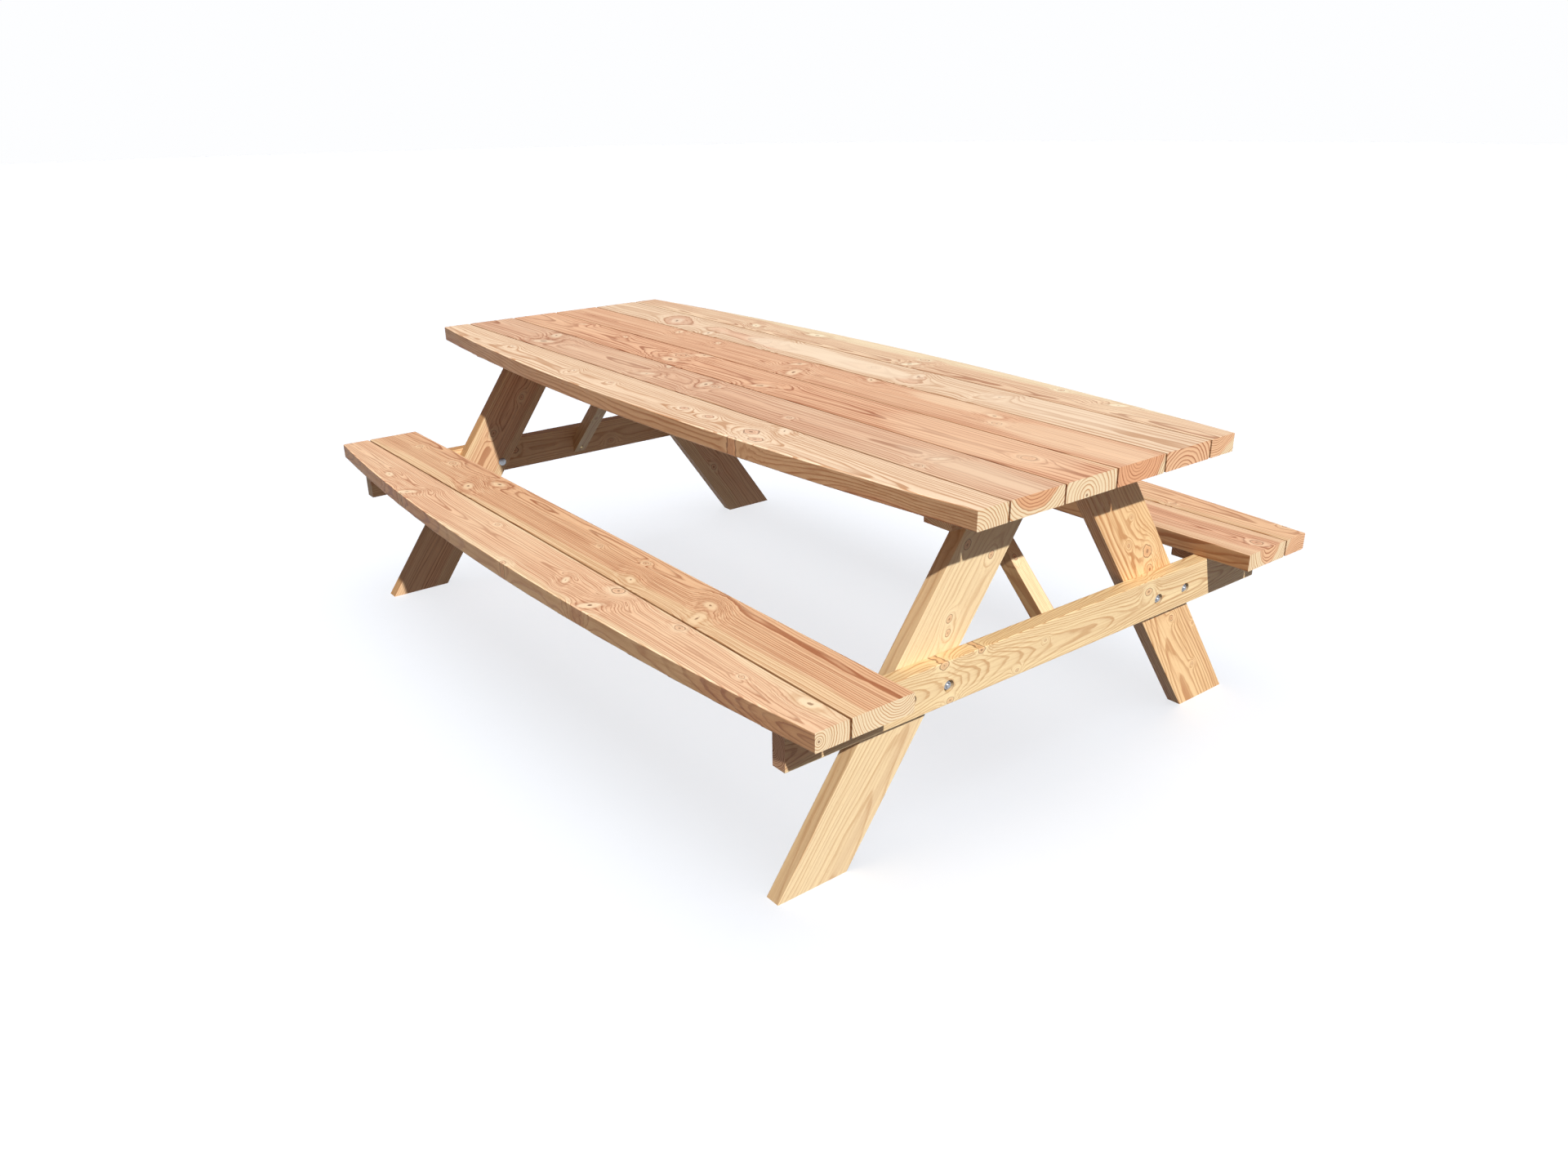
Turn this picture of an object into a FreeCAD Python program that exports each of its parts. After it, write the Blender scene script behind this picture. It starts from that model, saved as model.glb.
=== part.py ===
import FreeCAD
import Part
import math
import os
from FreeCAD import Vector

# Picnic table with bowed long edges and two fixed benches, all sizes in millimetres.
# +X runs along the boards, -Y towards the left bench, +Z up.
# The origin is on the floor, under the middle of the table top.

# ---------------------------------------------------------------- driving sizes

# Boards of the top and of both benches
board_length = 2220.0
board_width = 145.0
board_thickness = 40.0
board_gap = 5.0
board_edge_radius = 2.5           # eased long edges
top_height = 750.0
top_board_count = 6
top_bow = 66.0                    # how far the middle of the long edge stands outside its ends
seat_height = 445.0
seat_inner_edge = 515.0           # from the middle of the table to a bench
seat_outer_trim = 7.0             # taken off the outer seat board at its middle
seat_bow = 61.5

# Trestles
frame_thickness = 36.0            # legs, seat beams and braces are sawn from this stock
frame_edge_chamfer = 1.5
board_overhang = 105.0            # board ends beyond the outer face of the seat beam
leg_width = 140.0
leg_foot_reach = 715.0            # from the middle to the outer corner of a foot
leg_top_gap = 137.0               # clear gap between the two legs of a trestle at their tops
beam_height = 95.0
beam_end_inset = 30.0             # beam end inside the bench's outer edge
top_cleat_thickness = 40.0
top_cleat_inset = 60.0            # cleat end inside the top's long edge

# Braces
brace_width = 40.0
brace_angle = 45.0                # from the floor, in degrees
brace_offset = 30.0               # brace's middle beside the middle of the table
brace_above_beam_edge = 10.0      # lowest corner of the brace over the beam's lower edge
brace_end_housing = 17.0          # height of the brace end that bears on its cleat
brace_cleat_width = 70.0
brace_cleat_thickness = 40.0
brace_cleat_inset = 90.0          # cleat end inside the top's long edge

# Cleats and battens under the benches
seat_cleat_width = 90.0
seat_cleat_thickness = 40.0
seat_cleat_inset = 50.0           # cleat ends inside the bench's edges
seat_batten_width = 70.0
seat_batten_thickness = 28.0

# M10 carriage bolts, legs to seat beams
bolt_diameter = 10.0
bolt_hole_clearance = 0.5         # on the radius
bolt_head_diameter = 24.6
bolt_head_height = 5.0
bolt_neck_width = 10.0
bolt_neck_length = 6.0
bolt_end_chamfer = 1.0
bolt_edge_distance = 36.0         # level distance from a leg's sloping edge to its bolt
bolt_above_beam_edge = 40.0
bolt_side_shift = 12.0            # all bolts stand this far towards +Y from the legs' middles
recess_diameter = 26.0
recess_depth = 13.0
washer_diameter = 21.0
washer_thickness = 2.0
washer_hole_diameter = 10.5
nut_across_flats = 17.0
nut_height = 8.0
nut_chamfer_angle = 30.0

# Countersunk wood screws
screw_hole_clearance = 0.05       # on the radius and the depth of every screw's seat
board_screw_diameter = 5.0
board_screw_head = 10.0
board_screw_bite = 26.0           # how far it enters the board
board_screw_edge = 28.0           # from a board's long edge
leg_screw_diameter = 6.0
leg_screw_head = 12.0
leg_screw_bite = 80.0
leg_screw_spread = 90.0           # between the two screws of a leg
seat_screw_spread = 40.0          # between the two screws of a seat board on one cleat
brace_screw_diameter = 5.0
brace_screw_head = 10.0
brace_screw_bite = 24.0
brace_screw_along = 30.0          # from the brace's end corner, along its lower edge
cleat_screw_edge = 26.0           # from the seat cleat's inner end
cleat_screw_spread = 55.0         # between the two screws of a seat cleat
cleat_screw_bite = 28.0
cleat_screw_sink = 60.0           # depth of the bore that carries a cleat screw's head

# ---------------------------------------------------------------- worked out sizes

half_length = board_length / 2
pitch = board_width + board_gap
top_underside = top_height - board_thickness
top_half_width = top_board_count * pitch / 2 - board_gap / 2
seat_underside = seat_height - board_thickness
seat_split = seat_inner_edge + board_width
seat_outer_edge = seat_split + pitch - seat_outer_trim

beam_outer = half_length - board_overhang
leg_outer = beam_outer - frame_thickness
leg_inner = leg_outer - frame_thickness
beam_top = seat_underside
beam_bottom = beam_top - beam_height
leg_top = top_underside - top_cleat_thickness
top_cleat_inner = leg_inner


def bowed_edge(x, edge_at_middle, bow):
    """Distance from the table's middle to a bowed long edge at x."""
    radius = (half_length ** 2 + bow ** 2) / (2 * bow)
    return edge_at_middle - radius + math.sqrt(radius ** 2 - x ** 2)


beam_half_length = bowed_edge(beam_outer, seat_outer_edge, seat_bow) - beam_end_inset
top_cleat_half_length = bowed_edge(beam_outer, top_half_width, top_bow) - top_cleat_inset
seat_cleat_start = seat_inner_edge + seat_cleat_inset
seat_cleat_finish = bowed_edge(leg_outer, seat_outer_edge, seat_bow) - seat_cleat_inset
seat_batten_finish = seat_outer_edge - seat_cleat_inset

# The lean of a leg follows from where its foot and its top stand
leg_span = leg_foot_reach - leg_top_gap / 2
leg_diagonal = math.hypot(leg_span, leg_top)
leg_lean = math.acos(leg_width / leg_diagonal) - math.atan2(leg_top, leg_span)
leg_level_width = leg_width / math.cos(leg_lean)
bolt_height = beam_bottom + bolt_above_beam_edge

# The braces rise from the inner face of the beam to the underside of the boards
brace_slope = math.tan(math.radians(brace_angle))
brace_low_corner = beam_bottom + brace_above_beam_edge
brace_upright_depth = frame_thickness / math.cos(math.radians(brace_angle))
brace_end = leg_outer - (top_underside - brace_end_housing - brace_low_corner) / brace_slope
brace_top_corner = leg_outer - (top_underside - brace_low_corner - brace_upright_depth) / brace_slope
brace_cleat_half_length = bowed_edge(brace_end, top_half_width, top_bow) - brace_cleat_inset


# ---------------------------------------------------------------- helpers

def leg_outer_edge(z):
    """Distance from the table's middle to a leg's outer edge at height z."""
    return leg_foot_reach - z * math.tan(leg_lean)


def box(x0, x1, y0, y1, z0, z1):
    corner = Vector(min(x0, x1), min(y0, y1), min(z0, z1))
    return Part.makeBox(abs(x1 - x0), abs(y1 - y0), abs(z1 - z0), corner)


def prism(points, thickness_vector):
    """Solid of a flat polygon pushed along a vector."""
    wire = Part.makePolygon(points + [points[0]])
    return Part.Face(wire).extrude(thickness_vector)


def rounded(shape, radius, axis):
    """Ease the straight edges that run along one axis."""
    edges = []
    for edge in shape.Edges:
        if isinstance(edge.Curve, Part.Line) and abs(edge.tangentAt(edge.FirstParameter).dot(axis)) > 0.999:
            edges.append(edge)
    return shape.makeFillet(radius, edges)


def mirrored_x(shape):
    return shape.mirror(Vector(0, 0, 0), Vector(1, 0, 0))


def mirrored_y(shape):
    return shape.mirror(Vector(0, 0, 0), Vector(0, 1, 0))


def turned_about(shape):
    """Half a turn about the table's upright middle axis."""
    copy = shape.copy()
    copy.rotate(Vector(0, 0, 0), Vector(0, 0, 1), 180)
    return copy


# ---------------------------------------------------------------- boards

def straight_board(y0, top_face):
    """One full board from y0 to y0 + board_width."""
    solid = box(-half_length, half_length, y0, y0 + board_width, top_face - board_thickness, top_face)
    return rounded(solid, board_edge_radius, Vector(1, 0, 0))


def bowed_board(inner_edge, edge_at_middle, bow, top_face):
    """The outermost board on the +Y side: straight inside, sawn to one arc outside."""
    edge_at_end = edge_at_middle - bow
    low = top_face - board_thickness
    start = Vector(half_length, edge_at_end, low)
    middle = Vector(0, edge_at_middle, low)
    finish = Vector(-half_length, edge_at_end, low)
    inner_left = Vector(-half_length, inner_edge, low)
    inner_right = Vector(half_length, inner_edge, low)
    outline = Part.Wire([
        Part.Arc(start, middle, finish).toShape(),
        Part.LineSegment(finish, inner_left).toShape(),
        Part.LineSegment(inner_left, inner_right).toShape(),
        Part.LineSegment(inner_right, start).toShape(),
    ])
    solid = Part.Face(outline).extrude(Vector(0, 0, board_thickness))
    long_edges = []
    for edge in solid.Edges:
        level = abs(edge.tangentAt(edge.FirstParameter).z) < 0.001
        if level and edge.Length > half_length:
            long_edges.append(edge)
    return solid.makeFillet(board_edge_radius, long_edges)


# ---------------------------------------------------------------- trestle timber

def leg():
    """The +Y leg of the +X trestle, cut level at the floor and under its cleat."""
    foot = leg_outer_edge(0)
    head = leg_outer_edge(leg_top)
    outline = [
        Vector(leg_inner, foot, 0),
        Vector(leg_inner, head, leg_top),
        Vector(leg_inner, head - leg_level_width, leg_top),
        Vector(leg_inner, foot - leg_level_width, 0),
    ]
    solid = prism(outline, Vector(frame_thickness, 0, 0))
    along = Vector(0, -math.sin(leg_lean), math.cos(leg_lean))
    return rounded(solid, frame_edge_chamfer, along)


def seat_beam():
    """The beam outside the +X legs that carries both benches."""
    solid = box(leg_outer, beam_outer, -beam_half_length, beam_half_length, beam_bottom, beam_top)
    return rounded(solid, frame_edge_chamfer, Vector(0, 1, 0))


def top_cleat():
    """Flat cleat over the legs' ends, flush with the seat beam outside."""
    half = top_cleat_half_length
    solid = box(top_cleat_inner, beam_outer, -half, half, leg_top, top_underside)
    return rounded(solid, frame_edge_chamfer, Vector(0, 1, 0))


def brace():
    """Slanting brace from the inner face of the +X beam to the boards and its cleat."""
    side = brace_offset - brace_width / 2
    outline = [
        Vector(leg_outer, side, brace_low_corner),
        Vector(leg_outer, side, brace_low_corner + brace_upright_depth),
        Vector(brace_top_corner, side, top_underside),
        Vector(brace_end, side, top_underside),
        Vector(brace_end, side, top_underside - brace_end_housing),
    ]
    solid = prism(outline, Vector(0, brace_width, 0))
    slope = math.radians(brace_angle)
    along = Vector(-math.cos(slope), 0, math.sin(slope))
    return rounded(solid, frame_edge_chamfer, along)


def brace_cleat():
    """Flat cleat under the boards that the brace's upper end bears on."""
    half = brace_cleat_half_length
    low = top_underside - brace_cleat_thickness
    solid = box(brace_end - brace_cleat_width, brace_end, -half, half, low, top_underside)
    return rounded(solid, frame_edge_chamfer, Vector(0, 1, 0))


def seat_cleat():
    """Flat cleat under the +Y bench, against the inner face of the +X beam."""
    low = seat_underside - seat_cleat_thickness
    x0 = leg_outer - seat_cleat_width
    solid = box(x0, leg_outer, seat_cleat_start, seat_cleat_finish, low, seat_underside)
    return rounded(solid, frame_edge_chamfer, Vector(0, 1, 0))


def seat_batten():
    """Batten under the middle of the +Y bench that keeps its two boards level."""
    low = seat_underside - seat_batten_thickness
    half = seat_batten_width / 2
    solid = box(-half, half, seat_cleat_start, seat_batten_finish, low, seat_underside)
    return rounded(solid, frame_edge_chamfer, Vector(0, 1, 0))


# ---------------------------------------------------------------- carriage bolts

def bolt_places():
    """(y, z) of the four bolts of a trestle."""
    outer = leg_outer_edge(bolt_height) - bolt_edge_distance
    inner = leg_outer_edge(bolt_height) - leg_level_width + bolt_edge_distance
    return [(side * y + bolt_side_shift, bolt_height) for side in (-1, 1) for y in (inner, outer)]


def neck(size, length, y, z):
    half = size / 2
    return box(leg_inner, leg_inner + length, y - half, y + half, z - half, z + half)


def bolt_bore(y, z):
    """What is drilled out for one bolt: shank hole, square seat and nut recess."""
    radius = bolt_diameter / 2 + bolt_hole_clearance
    hole = Part.makeCylinder(radius, 2 * frame_thickness, Vector(leg_inner, y, z), Vector(1, 0, 0))
    start = Vector(beam_outer - recess_depth, y, z)
    recess = Part.makeCylinder(recess_diameter / 2, recess_depth, start, Vector(1, 0, 0))
    return [hole, recess, neck(bolt_neck_width, bolt_neck_length, y, z)]


def carriage_bolt(y, z):
    """Domed head on the leg's inner face, square neck and shank to the beam's face."""
    rise = bolt_head_height
    edge = bolt_head_diameter / 2
    ball_radius = (edge ** 2 + rise ** 2) / (2 * rise)
    dome_middle = edge / 2
    dome_depth = ball_radius - math.sqrt(ball_radius ** 2 - dome_middle ** 2)
    radius = bolt_diameter / 2
    length = beam_outer - leg_inner
    top = Vector(-rise, 0, 0)
    rim = Vector(0, edge, 0)
    outline = [
        rim,
        Vector(0, radius, 0),
        Vector(length - bolt_end_chamfer, radius, 0),
        Vector(length, radius - bolt_end_chamfer, 0),
        Vector(length, 0, 0),
        top,
    ]
    edges = [Part.Arc(top, Vector(dome_depth - rise, dome_middle, 0), rim).toShape()]
    for start, finish in zip(outline, outline[1:]):
        edges.append(Part.LineSegment(start, finish).toShape())
    face = Part.Face(Part.Wire(edges))
    turned = face.revolve(Vector(0, 0, 0), Vector(1, 0, 0), 360)
    turned.translate(Vector(leg_inner, y, z))
    return turned.fuse(neck(bolt_neck_width, bolt_neck_length, y, z))


def washer(y, z):
    start = Vector(beam_outer - recess_depth, y, z)
    disc = Part.makeCylinder(washer_diameter / 2, washer_thickness, start, Vector(1, 0, 0))
    hole = Part.makeCylinder(washer_hole_diameter / 2, washer_thickness, start, Vector(1, 0, 0))
    return disc.cut(hole)


def nut(y, z):
    """Hexagon nut with chamfered corners, seated on the washer."""
    x0 = beam_outer - recess_depth + washer_thickness
    corner = nut_across_flats / math.sqrt(3)
    ring = []
    for step in range(6):
        angle = math.radians(60 * step)
        ring.append(Vector(x0, y + corner * math.cos(angle), z + corner * math.sin(angle)))
    solid = prism(ring, Vector(nut_height, 0, 0))
    drop = corner - nut_across_flats / 2
    taper = drop * math.tan(math.radians(nut_chamfer_angle)) * 2
    body = Part.makeCylinder(corner, nut_height - taper, Vector(x0, y, z), Vector(1, 0, 0))
    start = Vector(x0 + nut_height - taper, y, z)
    cap = Part.makeCone(corner, corner - 2 * drop, taper, start, Vector(1, 0, 0))
    solid = solid.common(body.fuse(cap))
    radius = bolt_diameter / 2 + screw_hole_clearance
    hole = Part.makeCylinder(radius, nut_height, Vector(x0, y, z), Vector(1, 0, 0))
    return solid.cut(hole)


# ---------------------------------------------------------------- wood screws

class Screw:
    """A countersunk screw: its head's centre, its direction, shank, head and length."""

    def __init__(self, head, direction, diameter, head_diameter, length):
        self.head = head
        self.direction = direction
        self.radius = diameter / 2
        self.head_radius = head_diameter / 2
        self.length = length

    def grown(self, clearance):
        """Cone and shank, enlarged by a clearance, as one revolved solid."""
        wide = self.head_radius + clearance
        thin = self.radius + clearance
        depth = self.head_radius - self.radius
        tip = self.length - 2 * self.radius
        outline = [
            Vector(0, 0, 0),
            Vector(wide, 0, 0),
            Vector(thin, 0, depth),
            Vector(thin, 0, tip),
            Vector(0, 0, self.length + clearance),
        ]
        face = Part.Face(Part.makePolygon(outline + [outline[0]]))
        solid = face.revolve(Vector(0, 0, 0), Vector(0, 0, 1), 360)
        turn = FreeCAD.Rotation(Vector(0, 0, 1), self.direction)
        solid.Placement = FreeCAD.Placement(self.head, turn)
        return solid

    def solid(self):
        """The screw with a cross recess in its head."""
        slot = self.head_radius
        arm = self.radius / 3
        depth = self.radius
        cross = box(-slot / 2, slot / 2, -arm, arm, 0, depth)
        cross = cross.fuse(box(-arm, arm, -slot / 2, slot / 2, 0, depth))
        turn = FreeCAD.Rotation(Vector(0, 0, 1), self.direction)
        cross.Placement = FreeCAD.Placement(self.head, turn)
        return self.grown(0).cut(cross)

    def hole(self):
        return self.grown(screw_hole_clearance)

    def pocket(self, depth):
        """The bore in front of a sunk head."""
        radius = self.head_radius + screw_hole_clearance
        start = self.head - self.direction * depth
        return Part.makeCylinder(radius, depth, start, self.direction)


UP = Vector(0, 0, 1)
ALONG = Vector(1, 0, 0)


def top_board_spans(reach):
    """(low y, high y) of each board of the top, cut off at a cleat's half length."""
    spans = []
    for index in range(top_board_count):
        low = -top_half_width + index * pitch
        spans.append((max(low, -reach), min(low + board_width, reach)))
    return spans


def screw_rows(low, high):
    """Two screws near a board's edges, or one in the middle of a narrow strip."""
    if high - low > 3 * board_screw_edge:
        return [low + board_screw_edge, high - board_screw_edge]
    return [(low + high) / 2]


def board_screws(x, underside, thickness, spans):
    """Upright screws through a cleat into the boards above it."""
    length = thickness + board_screw_bite
    screws = []
    for low, high in spans:
        for y in screw_rows(low, high):
            head = Vector(x, y, underside - thickness)
            screws.append(Screw(head, UP, board_screw_diameter, board_screw_head, length))
    return screws


def top_cleat_screws():
    """Between the legs' outer face and the cleat's outer edge, clear of the legs."""
    x = (leg_outer + beam_outer) / 2
    spans = top_board_spans(top_cleat_half_length)
    return board_screws(x, top_underside, top_cleat_thickness, spans)


def brace_cleat_screws():
    x = brace_end - brace_cleat_width / 2
    spans = top_board_spans(brace_cleat_half_length)
    return board_screws(x, top_underside, brace_cleat_thickness, spans)


def leg_screws():
    """Long screws from the cleat's upper face down into both legs' ends."""
    x = (leg_inner + leg_outer) / 2
    sink = leg_screw_head * math.sin(leg_lean)
    screws = []
    for side in (-1, 1):
        middle = leg_outer_edge(leg_top) - leg_level_width / 2
        for step in (-0.5, 0.5):
            head = Vector(x, side * (middle + step * leg_screw_spread), top_underside - sink)
            down = Vector(0, side * math.sin(leg_lean), -math.cos(leg_lean))
            length = top_cleat_thickness / math.cos(leg_lean) + leg_screw_bite
            screws.append(Screw(head, down, leg_screw_diameter, leg_screw_head, length))
    return screws


def seat_screws(x_middle, thickness, finish):
    """Two screws into each board of the +Y bench, through a timber that ends at finish."""
    strips = [(seat_cleat_start, seat_split), (seat_split + board_gap, finish)]
    length = thickness + board_screw_bite
    screws = []
    for step in (-0.5, 0.5):
        x = x_middle + step * seat_screw_spread
        for low, high in strips:
            head = Vector(x, (low + high) / 2, seat_underside - thickness)
            screws.append(Screw(head, UP, board_screw_diameter, board_screw_head, length))
    return screws


def seat_cleat_screws():
    x_middle = leg_outer - seat_cleat_width / 2
    return seat_screws(x_middle, seat_cleat_thickness, seat_cleat_finish)


def seat_batten_screws():
    return seat_screws(0, seat_batten_thickness, seat_batten_finish)


def cleat_fixing_screws():
    """Level screws, sunk in deep bores, from a seat cleat into the inner face of the beam."""
    z = seat_underside - seat_cleat_thickness / 2
    x = leg_outer - seat_cleat_width + cleat_screw_sink
    length = seat_cleat_width - cleat_screw_sink + cleat_screw_bite
    screws = []
    for step in (0, 1):
        y = seat_cleat_start + cleat_screw_edge + step * cleat_screw_spread
        head = Vector(x, y, z)
        screws.append(Screw(head, ALONG, brace_screw_diameter, brace_screw_head, length))
    return screws


def brace_screws():
    """One level screw into the beam and one upright screw into a board, heads sunk in the slope."""
    slope = math.radians(brace_angle)
    run = brace_screw_along * math.cos(slope)
    rise = brace_screw_along * math.sin(slope)
    head_radius = brace_screw_head / 2
    depth = run - head_radius / brace_slope
    low_head = Vector(leg_outer - depth, brace_offset, brace_low_corner + rise)
    length = depth + brace_screw_bite
    low = Screw(low_head, ALONG, brace_screw_diameter, brace_screw_head, length)
    depth = brace_end_housing + rise - head_radius * brace_slope
    high_head = Vector(brace_end + run, brace_offset, top_underside - depth)
    length = depth + brace_screw_bite
    high = Screw(high_head, UP, brace_screw_diameter, brace_screw_head, length)
    return [low, high]


# ---------------------------------------------------------------- assembly

def drilled(shape, cutters):
    """Take away each cutter that reaches the shape."""
    near = [cutter for cutter in cutters if cutter.BoundBox.intersect(shape.BoundBox)]
    if not near:
        return shape
    return shape.cut(near)


def all_sides(shapes):
    """The shapes of the +X, +Y quarter, copied into the other three quarters."""
    result = list(shapes)
    result += [mirrored_x(shape) for shape in result]
    result += [mirrored_y(shape) for shape in result]
    return result


def both_ends(shapes):
    return list(shapes) + [mirrored_x(shape) for shape in shapes]


def both_sides(shapes):
    return list(shapes) + [mirrored_y(shape) for shape in shapes]


def both_turned(shapes):
    return list(shapes) + [turned_about(shape) for shape in shapes]


def holes(screws):
    return [screw.hole() for screw in screws]


def pockets(screws, depth):
    return [screw.pocket(depth) for screw in screws]


def solids(screws):
    return [screw.solid() for screw in screws]


def make_nodes():
    """Every node of the table, by name."""
    nodes = {}
    bolt_cuts = []
    for y, z in bolt_places():
        bolt_cuts += bolt_bore(y, z)
    bolt_cuts = both_ends(bolt_cuts)
    top_cuts = both_ends(holes(top_cleat_screws()))
    leg_cuts = both_ends(holes(leg_screws()) + pockets(leg_screws(), leg_screw_head))
    brace_cleat_cuts = both_turned(holes(brace_cleat_screws()))
    brace_cuts = both_turned(holes(brace_screws()))
    brace_pockets = both_turned(pockets(brace_screws(), brace_screw_head))
    seat_cuts = all_sides(holes(seat_cleat_screws())) + both_sides(holes(seat_batten_screws()))
    sunk = cleat_fixing_screws()
    cleat_cuts = all_sides(holes(sunk) + pockets(sunk, cleat_screw_sink))

    board_cuts = top_cuts + brace_cleat_cuts + brace_cuts
    for index in range(1, top_board_count - 1):
        board = straight_board(-top_half_width + index * pitch, top_height)
        nodes["top_board_%d" % (index + 1)] = drilled(board, board_cuts)
    outer = bowed_board(top_half_width - board_width, top_half_width, top_bow, top_height)
    nodes["top_board_1"] = drilled(mirrored_y(outer), board_cuts)
    nodes["top_board_%d" % top_board_count] = drilled(outer, board_cuts)

    inner_seat = straight_board(seat_inner_edge, seat_height)
    outer_seat = bowed_board(seat_split + board_gap, seat_outer_edge, seat_bow, seat_height)
    nodes["seat_board_right_inner"] = drilled(inner_seat, seat_cuts)
    nodes["seat_board_right_outer"] = drilled(outer_seat, seat_cuts)
    nodes["seat_board_left_inner"] = drilled(mirrored_y(inner_seat), seat_cuts)
    nodes["seat_board_left_outer"] = drilled(mirrored_y(outer_seat), seat_cuts)
    nodes["seat_batten_right"] = drilled(seat_batten(), seat_cuts)
    nodes["seat_batten_left"] = drilled(mirrored_y(seat_batten()), seat_cuts)

    leg_shape = leg()
    cleat_shape = seat_cleat()
    for end, flip in (("near", lambda shape: shape), ("far", mirrored_x)):
        nodes["leg_%s_right" % end] = drilled(flip(leg_shape), bolt_cuts + leg_cuts)
        nodes["leg_%s_left" % end] = drilled(flip(mirrored_y(leg_shape)), bolt_cuts + leg_cuts)
        nodes["seat_beam_%s" % end] = drilled(flip(seat_beam()), bolt_cuts + brace_cuts + cleat_cuts)
        nodes["top_cleat_%s" % end] = drilled(flip(top_cleat()), top_cuts + leg_cuts)
        nodes["seat_cleat_%s_right" % end] = drilled(flip(cleat_shape), seat_cuts + cleat_cuts)
        nodes["seat_cleat_%s_left" % end] = drilled(flip(mirrored_y(cleat_shape)), seat_cuts + cleat_cuts)
        nodes["carriage_bolts_%s" % end] = [flip(carriage_bolt(y, z)) for y, z in bolt_places()]
        nodes["bolt_washers_%s" % end] = [flip(washer(y, z)) for y, z in bolt_places()]
        nodes["bolt_nuts_%s" % end] = [flip(nut(y, z)) for y, z in bolt_places()]
        nodes["top_cleat_screws_%s" % end] = [flip(shape) for shape in solids(top_cleat_screws())]
        nodes["leg_screws_%s" % end] = [flip(shape) for shape in solids(leg_screws())]
        seat_fixings = both_sides(solids(seat_cleat_screws()))
        cleat_fixings = both_sides(solids(cleat_fixing_screws()))
        nodes["seat_cleat_screws_%s" % end] = [flip(shape) for shape in seat_fixings]
        nodes["cleat_fixing_screws_%s" % end] = [flip(shape) for shape in cleat_fixings]

    for end, turn in (("near", lambda shape: shape), ("far", turned_about)):
        nodes["brace_%s" % end] = drilled(turn(brace()), brace_cuts + brace_pockets)
        nodes["brace_cleat_%s" % end] = drilled(turn(brace_cleat()), brace_cleat_cuts)
        nodes["brace_screws_%s" % end] = [turn(shape) for shape in solids(brace_screws())]
        nodes["brace_cleat_screws_%s" % end] = [turn(shape) for shape in solids(brace_cleat_screws())]
    nodes["seat_batten_screws"] = both_sides(solids(seat_batten_screws()))
    return nodes


def write_nodes(nodes):
    os.makedirs("parts", exist_ok=True)
    for name, shape in sorted(nodes.items()):
        if isinstance(shape, list):
            shape = Part.makeCompound(shape)
        shape.exportStep("parts/%s.step" % name)
        print("%-28s %3d solids, %10.0f mm3" % (name, len(shape.Solids), shape.Volume))


write_nodes(make_nodes())
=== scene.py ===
import math

import bmesh
import bpy
from bpy.props import (
    FloatProperty,
    FloatVectorProperty,
    IntProperty,
    PointerProperty,
)
from mathutils import Matrix, Vector


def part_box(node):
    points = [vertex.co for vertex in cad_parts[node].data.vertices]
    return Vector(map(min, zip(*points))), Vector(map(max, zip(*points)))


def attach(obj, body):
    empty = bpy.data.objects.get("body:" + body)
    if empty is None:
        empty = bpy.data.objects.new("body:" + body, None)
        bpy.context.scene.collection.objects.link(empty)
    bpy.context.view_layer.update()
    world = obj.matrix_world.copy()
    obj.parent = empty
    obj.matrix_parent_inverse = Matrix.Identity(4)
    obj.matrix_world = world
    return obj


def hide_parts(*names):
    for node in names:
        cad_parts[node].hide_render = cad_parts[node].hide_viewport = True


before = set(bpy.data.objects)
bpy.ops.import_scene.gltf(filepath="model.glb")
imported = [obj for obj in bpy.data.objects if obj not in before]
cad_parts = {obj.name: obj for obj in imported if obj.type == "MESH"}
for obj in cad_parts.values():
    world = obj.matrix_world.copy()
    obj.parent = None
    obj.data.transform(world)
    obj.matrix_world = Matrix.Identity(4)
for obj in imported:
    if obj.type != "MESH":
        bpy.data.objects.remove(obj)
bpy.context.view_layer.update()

bl_info = {
    "name": "Picnic table",
    "version": (1, 0, 0),
    "blender": (4, 5, 0),
    "location": "3D View > Sidebar > Picnic table",
    "description": "Finishes a planed softwood picnic table with its bolts, screws and stage",
    "category": "Object",
}

BODY = "root"
MM = 0.001


# ---------------------------------------------------------------- settings

def color_setting(name, description, default):
    return FloatVectorProperty(
        name=name, description=description, default=default, size=3, min=0, max=1, subtype="COLOR")


class TimberSettings(bpy.types.PropertyGroup):
    """Colours and figure that all the sawn and planed timber shares."""

    heart_early: color_setting(
        "Heartwood", "Spring growth of the heartwood", (0.79, 0.50, 0.295))
    heart_late: color_setting(
        "Heartwood lines", "Summer growth of the heartwood", (0.36, 0.13, 0.055))
    sap_early: color_setting(
        "Sapwood", "Spring growth of the sapwood", (0.84, 0.63, 0.39))
    sap_late: color_setting(
        "Sapwood lines", "Summer growth of the sapwood", (0.50, 0.255, 0.11))
    knot_dark: color_setting(
        "Dark knots", "Heart of a dead knot", (0.20, 0.085, 0.04))
    knot_pale: color_setting(
        "Pale knots", "Heart of a live knot cut across its fibres", (0.86, 0.67, 0.43))
    roughness: FloatProperty(
        name="Roughness", description="Roughness of the planed faces",
        default=0.56, min=0, max=1, subtype="FACTOR")
    relief: FloatProperty(
        name="Relief", description="Height of the raised grain",
        default=0.35 * MM, min=0, max=3 * MM, unit="LENGTH")


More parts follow.
